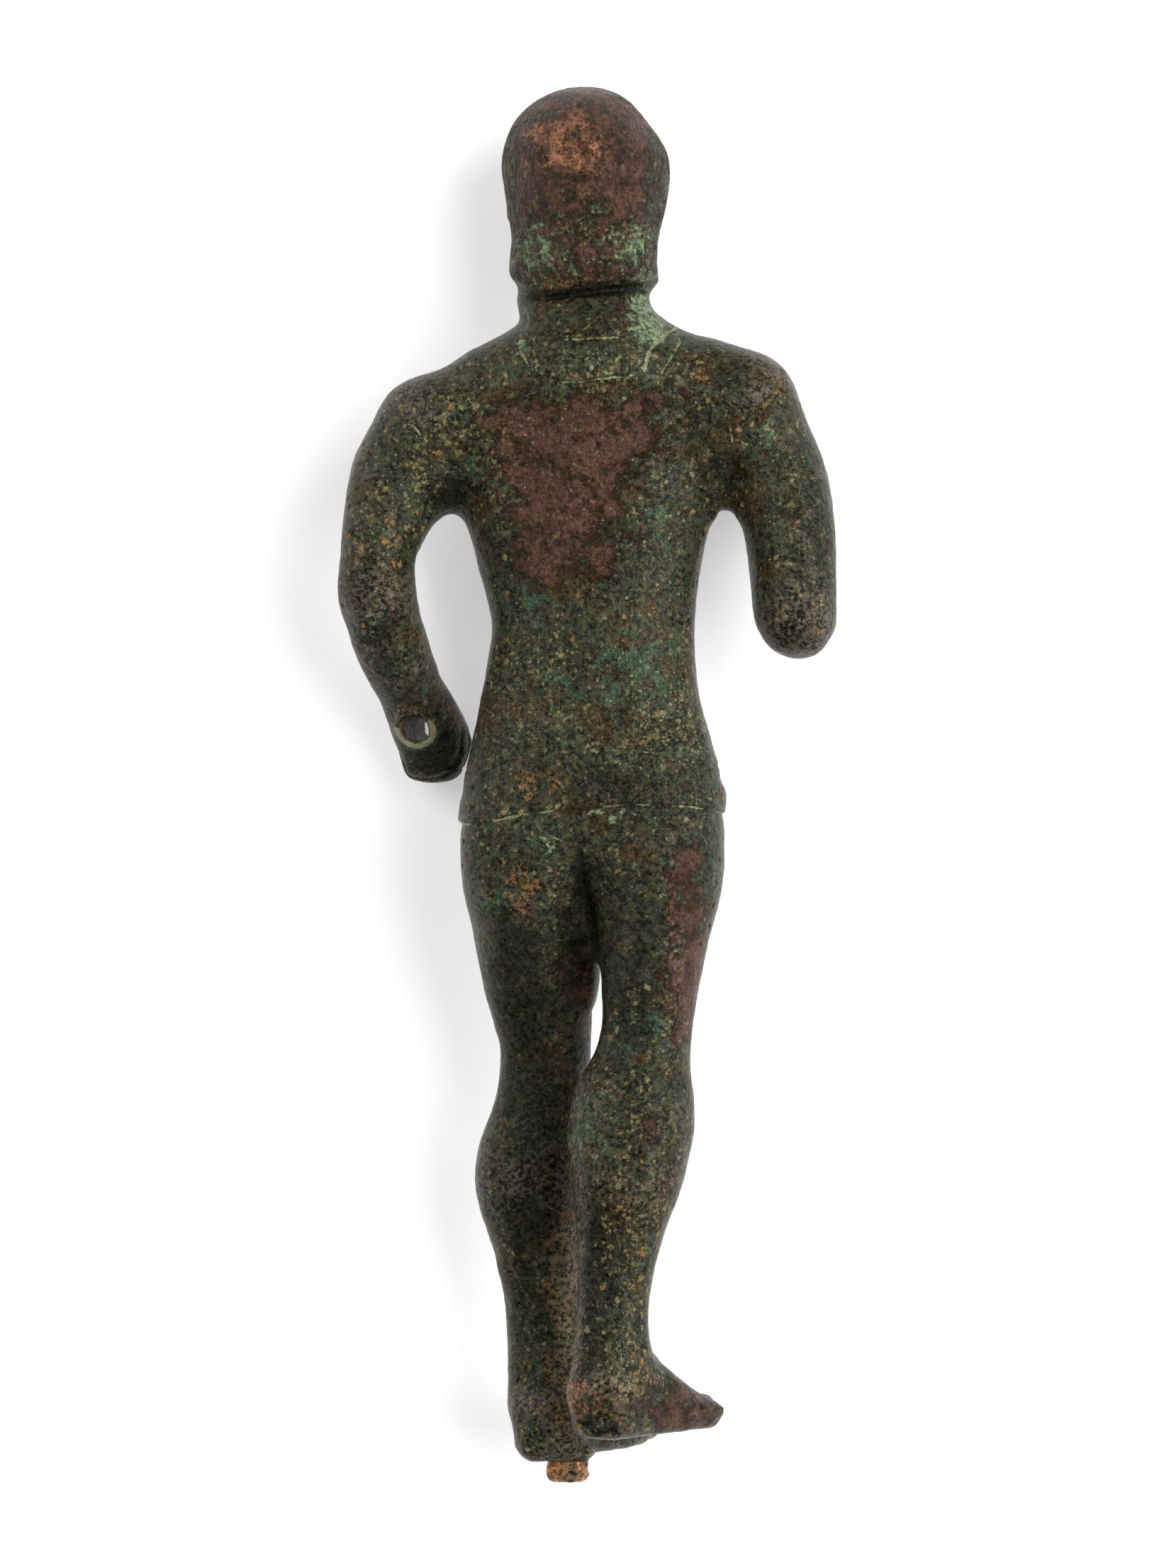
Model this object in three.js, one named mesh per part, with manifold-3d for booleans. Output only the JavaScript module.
// A cast bronze votive statuette: a youth in a short close-fitting corselet, with cap-like hair, striding.
// It lies face down. +Z is up out of its back, +Y runs from its feet to its crown and +X to its right hand.
// All lengths are in millimetres.
import * as THREE from "three";
import { ConvexHull } from "three/addons/math/ConvexHull.js";
import { mergeVertices } from "three/addons/utils/BufferGeometryUtils.js";
import Module from "manifold-3d";

// Driving dimensions
const figureHeight = 194.3; // left sole to crown
const boreDiameter = 3.8; // hole through the left fist
const tangLength = 3.2; // stub below the left heel
const tangWidth = 5.8;
const tangDepth = 4.6;

// The stations below are written for a figure of this height, with its left sole at y 0. A length in them
// times share is the real one, so pose, proportions and carving are shares of the figure's height.
const writtenHeight = 194.3;
const share = figureHeight / writtenHeight;

// A rounded form along a curve. A station is [x, y, z, half width, half depth in front, half depth behind],
// where the last is left out when it equals the one in front. up points behind, power squares the section,
// and ends are the lengths of the two caps.
function limb(stations, { up = [0, 0, 1], power = 2, ends = [4, 4] } = {}) {
  const curve = (pick) =>
    new THREE.CatmullRomCurve3(stations.map((s) => pick(s).multiplyScalar(share)), false, "centripetal");
  const centres = curve(([x, y, z]) => new THREE.Vector3(x, y, z));
  const sizes = curve(([, , , wide, front, behind]) => new THREE.Vector3(wide, front, behind ?? front));
  const count = (stations.length - 1) * 5;
  const behind = new THREE.Vector3(...up).normalize();
  const rings = Array.from({ length: count + 1 }, (_, i) => {
    const tangent = centres.getTangent(i / count);
    const side = new THREE.Vector3().crossVectors(tangent, behind).normalize();
    const back = new THREE.Vector3().crossVectors(side, tangent).normalize();
    return { centre: centres.getPoint(i / count), size: sizes.getPoint(i / count), tangent, side, back };
  });
  const caps = ends.map((end) => end * share);
  const offset = new THREE.Vector3();
  const axis = new THREE.Vector3();
  return (p) => {
    let nearest = 0;
    let part = 0;
    let least = Infinity;
    for (let i = 0; i < count; i++) {
      axis.subVectors(rings[i + 1].centre, rings[i].centre);
      offset.subVectors(p, rings[i].centre);
      const t = THREE.MathUtils.clamp(offset.dot(axis) / axis.lengthSq(), 0, 1);
      const far = offset.addScaledVector(axis, -t).lengthSq();
      if (far < least) {
        least = far;
        nearest = i;
        part = t;
      }
    }
    const [a, b] = [rings[nearest], rings[nearest + 1]];
    const mix = (u, v) => u + (v - u) * part;
    offset.copy(a.centre).lerp(b.centre, part).subVectors(p, offset);
    const across = mix(offset.dot(a.side), offset.dot(b.side));
    const deep = mix(offset.dot(a.back), offset.dot(b.back));
    const along = mix(offset.dot(a.tangent), offset.dot(b.tangent));
    const wide = mix(a.size.x, b.size.x);
    const thick = deep < 0 ? mix(a.size.y, b.size.y) : mix(a.size.z, b.size.z);
    const radii = [wide, thick, caps[along < 0 ? 0 : 1]];
    const sum = [across, deep, along].reduce((total, v, n) => total + Math.abs(v / radii[n]) ** power, 0);
    return inward(Math.hypot(across, deep, along), sum ** (1 / power), radii);
  };
}

// An ellipsoid at a point, turned by angles in degrees.
function knob([x, y, z], sizes, degrees = [0, 0, 0]) {
  const turn = new THREE.Matrix4().makeRotationFromEuler(
    new THREE.Euler(...degrees.map(THREE.MathUtils.degToRad)));
  const back = turn.setPosition(new THREE.Vector3(x, y, z).multiplyScalar(share)).invert();
  const radii = sizes.map((size) => size * share);
  const local = new THREE.Vector3();
  return (p) => {
    const [a, b, c] = local.copy(p).applyMatrix4(back).toArray().map((v, n) => v / radii[n]);
    return inward(local.length(), Math.hypot(a, b, c), radii);
  };
}

// The distance to a rounded form's skin, from the length to its centre and the share of the way to its skin.
function inward(length, reached, radii) {
  return reached < 1e-6 ? -Math.min(...radii) : length - length / reached;
}

// The lower of two distances, rounded over a width where the forms meet.
function blend(a, b, width) {
  const round = width * share;
  const overlap = Math.max(round - Math.abs(a - b), 0) / round;
  return Math.min(a, b) - (overlap * overlap * round) / 4;
}
const join = (width, ...forms) => (p) => forms.map((form) => form(p)).reduce((a, b) => blend(a, b, width));

// Trunk, in a corselet that ends in a lip over the hips, and the yoke of the shoulders
const trunk = limb([
  [-0.8, 158, -5.6, 9.4, 7.6, 7.8],
  [-0.7, 151, -5.2, 15.6, 8.6, 8.8],
  [-0.7, 142, -4.6, 18.4, 9.8, 9.4],
  [-0.3, 130, -3.5, 16.6, 9.4, 9.0],
  [0.3, 117, -2.2, 14.3, 8.0, 8.2],
  [-0.1, 108, -1.4, 15.3, 8.2, 8.6],
  [0.1, 97, -0.4, 17.9, 8.8, 9.6],
  [0.3, 92.6, 0.0, 19.2, 9.4, 10.2],
], { power: 2.2, ends: [3, 2.2] });
const yoke = limb([
  [-21.4, 146.6, -5.0, 5.2, 6.4],
  [-11, 151.8, -5.2, 5.6, 7.0],
  [-0.8, 153.2, -5.4, 5.4, 7.4],
  [11, 153.0, -5.4, 5.4, 7.0],
  [21.8, 149.6, -5.2, 5.6, 6.6],
]);

// Legs, the left one advanced, and the seat
const leftLeg = limb([
  [-8.2, 99, 0.2, 7.6, 7.0, 7.6],
  [-9.1, 90, 0.0, 9.0, 8.8, 8.8],
  [-8.7, 80, -1.4, 8.8, 8.8, 8.6],
  [-7.5, 67, -4.2, 7.8, 8.0, 7.0],
  [-6.5, 57, -5.2, 6.4, 7.0, 5.8],
  [-7.2, 49, -5.4, 6.6, 6.4, 6.2],
  [-8.8, 40, -5.4, 7.8, 6.0, 7.6],
  [-7.6, 30, -4.8, 6.4, 5.6, 5.6],
  [-6.8, 21, -4.2, 5.4, 5.2, 4.6],
  [-6.5, 8, -3.2, 5.3, 5.4, 5.2],
], { power: 2.1 });
const rightLeg = limb([
  [8.6, 99, 0.2, 7.6, 7.0, 7.8],
  [9.2, 90, 0.6, 9.1, 8.8, 9.0],
  [8.7, 79, 2.2, 8.8, 8.8, 8.8],
  [8.2, 66, 5.0, 6.7, 8.0, 7.0],
  [7.5, 58.5, 6.2, 6.4, 7.0, 6.0],
  [5.8, 49, 7.8, 8.8, 6.6, 7.4],
  [5.0, 41, 8.8, 8.0, 6.4, 7.8],
  [3.9, 32, 9.8, 5.9, 5.8, 5.8],
  [3.1, 23, 10.8, 5.0, 5.2, 4.8],
  [2.8, 12, 12.0, 5.5, 5.4, 5.2],
], { power: 2.1 });
const seat = join(1.6,
  knob([-8.4, 84, 1.4], [8.6, 11, 7.8]),
  knob([8.6, 84, 2.2], [8.8, 11, 8.0]),
  knob([0.3, 89, 0.2], [16, 10, 9.4]),
  knob([0.6, 80, 0.8], [4, 8, 5]));

// Feet. Each runs from the heel to the toes, with its big toe beside them, and stops at its sole.
const leftFoot = join(1.6,
  limb([
    [-5.6, 4.4, -0.4, 5.2, 8.0, 6.4],
    [-4.3, 4.6, -7.0, 5.1, 8.0, 6.6],
    [0.6, 4.0, -12.8, 5.4, 7.4, 3.8],
    [4.0, 4.2, -16.4, 4.5, 6.4, 1.4],
  ], { up: [0, 1, 0], power: 2.4, ends: [4.6, 2.7] }),
  limb([
    [4.6, 2.6, -12.6, 2.6],
    [7.8, 2.3, -19.1, 2.3],
  ].map(([x, y, z, r]) => [x, y, z, r, r]), { ends: [2, 2.4] }));
const rightFoot = join(1.6,
  limb([
    [2.2, 9.2, 13.4, 5.1, 8.0, 6.0],
    [5.8, 9.6, 9.4, 5.1, 8.0, 6.4],
    [10.8, 8.4, 5.0, 5.3, 7.0, 3.8],
    [15.0, 7.6, 1.6, 4.5, 5.8, 1.4],
  ], { up: [0, 1, 0], power: 2.4, ends: [4.6, 2.7] }),
  limb([
    [10.0, 7.2, 1.6, 2.3],
    [15.4, 7.1, -2.0, 2.2],
  ].map(([x, y, z, r]) => [x, y, z, r, r]), { ends: [2, 2.4] }));

// Arms: upper arm, forearm and fist. The right forearm is bent up in front of the shoulder.
const leftArm = join(2,
  limb([
    [-23.4, 144.7, -5.0, 7.3, 7.0],
    [-27.0, 138.6, -3.8, 7.1, 6.8],
    [-29.3, 131, -1.2, 5.9, 6.4, 6.0],
    [-30.4, 125, 0.4, 5.1, 5.6, 5.2],
    [-30.3, 122, 0.8, 5.1, 5.2],
  ], { ends: [6, 4] }),
  limb([
    [-30.3, 122.6, 0.4, 5.1, 5.2],
    [-28.9, 116.4, -3.4, 5.3, 5.2],
    [-25.5, 107.6, -10.8, 4.6, 4.4],
  ]),
  limb([
    [-24.4, 105.6, -12.6, 4.9, 4.6],
    [-22.9, 100.6, -16.2, 5.6, 5.2],
    [-23.0, 98.8, -16.6, 4.6, 4.6],
  ], { power: 2.5, ends: [3, 3.4] }));
const rightArm = join(3,
  limb([
    [21.8, 147.2, -5.0, 7.3, 7.2],
    [26.2, 138.4, -3.0, 7.0, 6.8],
    [28.6, 128, 0.2, 6.0, 6.2],
    [29.1, 118.1, 2.6, 4.8, 5.4],
  ], { ends: [6, 5.4] }),
  limb([
    [28.4, 119.4, 1.6, 5.3, 5.4],
    [27.8, 125.6, -3.6, 5.4, 5.2],
    [27.0, 133.8, -10.6, 4.2, 4.2],
  ], { ends: [5, 3] }),
  limb([
    [27.3, 135, -11.6, 4.6, 4.4],
    [26.8, 139.2, -15.2, 5.2, 4.9],
  ], { power: 2.5, ends: [3, 4.4] }));

// Head: the cap of hair, the neck, the face and the ears
const hair = limb([
  [-1.0, 183, -7.2, 11.8, 11.4, 11.8],
  [-0.7, 177, -7.2, 11.1, 7.6, 11.6],
  [-0.8, 171, -7.0, 10.4, 5.4, 10.8],
  [-1.1, 167, -6.8, 10.8, 4.6, 10.6],
], { ends: [11.4, 2.8] });
const neck = limb([
  [-0.9, 174, -7.0, 9.2, 7.6, 8.0],
  [-1.3, 163, -6.2, 9.3, 7.6, 7.8],
  [-1.1, 158, -5.6, 9.9, 8.0, 8.2],
  [-0.8, 152, -5.2, 13.4, 8.0, 8.6],
]);
const face = join(1.6,
  limb([
    [-0.8, 185, -11.2, 8.2, 7.2, 6],
    [-0.8, 180, -11.2, 8.9, 7.9, 6],
    [-0.8, 177.4, -11.2, 8.8, 7.2, 6],
    [-0.8, 171, -11.4, 7.8, 7.6, 6],
    [-0.8, 167, -12.0, 5.2, 7.0, 5],
  ], { power: 2.2, ends: [4, 2.4] }),
  limb([
    [-0.8, 180.6, -17.8, 1.3, 1.3],
    [-0.8, 176.6, -19.2, 1.6, 1.6],
    [-0.8, 173.6, -19.7, 2.4, 1.7],
  ], { ends: [1.2, 1.1] }),
  knob([-0.8, 169.7, -18.2], [3.2, 1.6, 1.9]),
  knob([-0.8, 166.4, -17.4], [3.2, 2.1, 2.2]));
const ears = join(0.5, ...[-1, 1].map((side) =>
  knob([-0.8 + side * 9.4, 177, -12.6], [1.5, 3.4, 2.6], [0, side * 24, 0])));

// The whole figure. Each sole is a level plane that its foot and leg stop at, and the corselet's hem and
// the lower edge of the hair stay sharp.
function figureField(p) {
  const legs = [[0, leftFoot, leftLeg], [5, rightFoot, rightLeg]].map(([level, foot, leg]) =>
    -blend(-blend(foot(p), leg(p), 3), p.y - level * share, 1.4));
  const hips = blend(blend(...legs, 3), seat(p), 4);
  const top = blend(blend(trunk(p), yoke(p), 9), neck(p), 5);
  const body = [leftArm, rightArm].reduce((d, arm) => blend(d, arm(p), 7.4), blend(top, hips, 1.4));
  return blend(blend(body, face(p), 1.6), blend(hair(p), ears(p), 1), 1.4);
}

// The lattice that the skin is drawn on: its width of step, its limits, and how the step changes up the
// figure and from its front to its back, as [up to this coordinate, steps as a multiple].
const facet = 2.25;
const limits = { low: [-40, -3, -26], high: [40, 197, 22] };
const everywhere = Infinity;
const stepChanges = [
  [[everywhere, 1]],
  [[12, 0.8], [30, 2], [67, 1.6], [76, 0.8], [86, 2], [96, 0.8], [130, 2], [160, 1.6], [everywhere, 0.8]],
  [[-13, 0.8], [everywhere, 1]],
];
const lattice = stepChanges.map((changes, axis) => {
  const list = [limits.low[axis]];
  while (list.at(-1) < limits.high[axis]) {
    const [, multiple] = changes.find(([end]) => list.at(-1) < end);
    list.push(list.at(-1) + facet * multiple);
  }
  return list.map((v) => v * share);
});

// Moves a point onto the surface where a field is zero.
const settleRounds = 4;
const slopeStep = 0.02;
const leastSlope = 0.1;
function settle(field, point) {
  const slope = new THREE.Vector3();
  const probe = new THREE.Vector3();
  for (let round = 0; round < settleRounds; round++) {
    for (const axis of ["x", "y", "z"]) {
      probe.copy(point)[axis] += slopeStep;
      const ahead = field(probe);
      probe[axis] -= 2 * slopeStep;
      slope[axis] = (ahead - field(probe)) / (2 * slopeStep);
    }
    point.addScaledVector(slope, -field(point) / Math.max(slope.lengthSq(), leastSlope));
  }
  return point;
}

// The surface where a field is zero, as four-sided facets across the lattice's edges, with one corner in
// each cell of the lattice that the surface passes through.
function skin(field, planes) {
  const counts = planes.map((list) => list.length);
  const index = (cell) => (cell[0] * counts[1] + cell[1]) * counts[2] + cell[2];
  const place = (cell) => new THREE.Vector3(...cell.map((n, axis) => planes[axis][n]));
  const step = (cell, axis, n = 1) => cell.map((v, i) => (i === axis ? v + n : v));
  const value = new Float64Array(counts[0] * counts[1] * counts[2]);
  const cells = [];
  for (let i = 0; i < counts[0]; i++) {
    for (let j = 0; j < counts[1]; j++) {
      for (let k = 0; k < counts[2]; k++) {
        const cell = [i, j, k];
        value[index(cell)] = field(place(cell));
        if (cell.every((n, axis) => n > 0 && n < counts[axis] - 1)) cells.push(cell);
      }
    }
  }
  const crosses = (from, to) => value[index(from)] < 0 !== value[index(to)] < 0;

  const corners = [];
  const cornerOf = new Map();
  const corner = (cell) => {
    if (!cornerOf.has(index(cell))) {
      const crossings = [0, 1, 2].flatMap((axis) => [[0, 0], [0, 1], [1, 0], [1, 1]].flatMap(([u, v]) => {
        const from = step(step(cell, (axis + 1) % 3, u), (axis + 2) % 3, v);
        const to = step(from, axis);
        if (!crosses(from, to)) return [];
        const [a, b] = [value[index(from)], value[index(to)]];
        return [place(from).lerp(place(to), a / (a - b))];
      }));
      const middle = crossings.reduce((sum, v) => sum.add(v), new THREE.Vector3());
      cornerOf.set(index(cell), corners.push(settle(field, middle.divideScalar(crossings.length))) - 1);
    }
    return cornerOf.get(index(cell));
  };

  const faces = [];
  const bulge = (a, b) => Math.abs(field(corners[a].clone().lerp(corners[b], 0.5)));
  for (const cell of cells) {
    for (const axis of [0, 1, 2].filter((n) => crosses(cell, step(cell, n)))) {
      const ring = [[0, 0], [-1, 0], [-1, -1], [0, -1]].map(([u, v]) =>
        corner(step(step(cell, (axis + 1) % 3, u), (axis + 2) % 3, v)));
      const [a, b, c, d] = value[index(cell)] < 0 ? ring : ring.reverse();
      if (bulge(a, c) < bulge(b, d)) faces.push(a, b, c, a, c, d);
      else faces.push(a, b, d, b, c, d);
    }
  }
  return new THREE.BufferGeometry().setFromPoints(corners).setIndex(faces);
}

// A closed three.js geometry as a solid, and back.
const wasm = await Module();
wasm.setup();
function solid(geometry) {
  geometry.deleteAttribute("normal");
  geometry.deleteAttribute("uv");
  const merged = mergeVertices(geometry);
  return new wasm.Manifold(new wasm.Mesh({
    numProp: 3,
    vertProperties: new Float32Array(merged.attributes.position.array),
    triVerts: new Uint32Array(merged.index.array),
  }));
}
function geometryOf(body) {
  const mesh = body.getMesh();
  const geometry = new THREE.BufferGeometry();
  geometry.setAttribute("position", new THREE.BufferAttribute(new Float32Array(mesh.vertProperties), 3));
  return geometry.setIndex(new THREE.BufferAttribute(new Uint32Array(mesh.triVerts), 1));
}

// The casting stub: an uneven prism that stands in the left heel, cut square at its end.
const tangPlace = { x: -3.4, z: -0.4 };
const tangRoot = 3; // how far it runs up into the heel
const tangSides = 14;
const tangUnevenness = 0.05;
function tang() {
  const outline = Array.from({ length: tangSides }, (_, i) => {
    const angle = (2 * Math.PI * i) / tangSides;
    const uneven = 0.5 + (tangUnevenness / 2) * (Math.sin(2 * angle + 1) + Math.cos(5 * angle));
    return new THREE.Vector2(uneven * tangWidth * Math.cos(angle), uneven * tangDepth * Math.sin(angle));
  });
  const depth = tangLength + tangRoot * share;
  const geometry = new THREE.ExtrudeGeometry(new THREE.Shape(outline), { depth, bevelEnabled: false });
  return geometry.rotateX(Math.PI / 2).translate(tangPlace.x * share, tangRoot * share, tangPlace.z * share);
}

// The hole through the left fist, for the shaft of a spear or the grip of a shield.
const borePlace = [-23.7, 103.0, -14.8];
const boreReach = 30; // more than the fist's depth
const boreTurn = THREE.MathUtils.degToRad(14);
const boreSides = 20;
function bore() {
  const radius = boreDiameter / 2;
  const geometry = new THREE.CylinderGeometry(radius, radius, boreReach * share, boreSides);
  return geometry.rotateX(Math.PI / 2).rotateY(-boreTurn).translate(...borePlace.map((v) => v * share));
}

// Lays a body on the facet of its convex hull that its weight is over, with its origin in the middle below.
const downward = 0.9; // least share of a facet's normal that points down
function layDown(geometry) {
  const position = geometry.attributes.position;
  const points = Array.from({ length: position.count }, (_, i) =>
    new THREE.Vector3().fromBufferAttribute(position, i));
  const weight = new THREE.Vector3();
  let volume = 0;
  for (let i = 0; i < geometry.index.count; i += 3) {
    const [a, b, c] = [0, 1, 2].map((n) => points[geometry.index.getX(i + n)]);
    const wedge = a.dot(new THREE.Vector3().crossVectors(b, c));
    volume += wedge;
    weight.addScaledVector(new THREE.Vector3().add(a).add(b).add(c), wedge / 4);
  }
  weight.divideScalar(volume);
  const down = new THREE.Vector3(0, 0, -1);
  const under = new ConvexHull().setFromPoints(points).faces.find((face) => {
    const foot = weight.clone().addScaledVector(face.normal, -face.distanceToPoint(weight));
    return face.normal.dot(down) > downward && [0, 1, 2].every((n) => {
      const edge = face.getEdge(n);
      const run = edge.head().point.clone().sub(edge.tail().point);
      return run.cross(foot.clone().sub(edge.tail().point)).dot(face.normal) >= 0;
    });
  });
  geometry.applyQuaternion(new THREE.Quaternion().setFromUnitVectors(under.normal, down));
  geometry.computeBoundingBox();
  const { min, max } = geometry.boundingBox;
  return geometry.translate(-(min.x + max.x) / 2, -(min.y + max.y) / 2, -min.z);
}

const cast = solid(skin(figureField, lattice)).add(solid(tang())).subtract(solid(bore()));
const bronze = new THREE.MeshStandardMaterial({ color: 0x3a4034, roughness: 0.5, metalness: 0.6 });
const figure = new THREE.Mesh(layDown(geometryOf(cast)), bronze);
figure.name = "figure";
const statuette = new THREE.Group();
statuette.add(figure);

export default statuette;
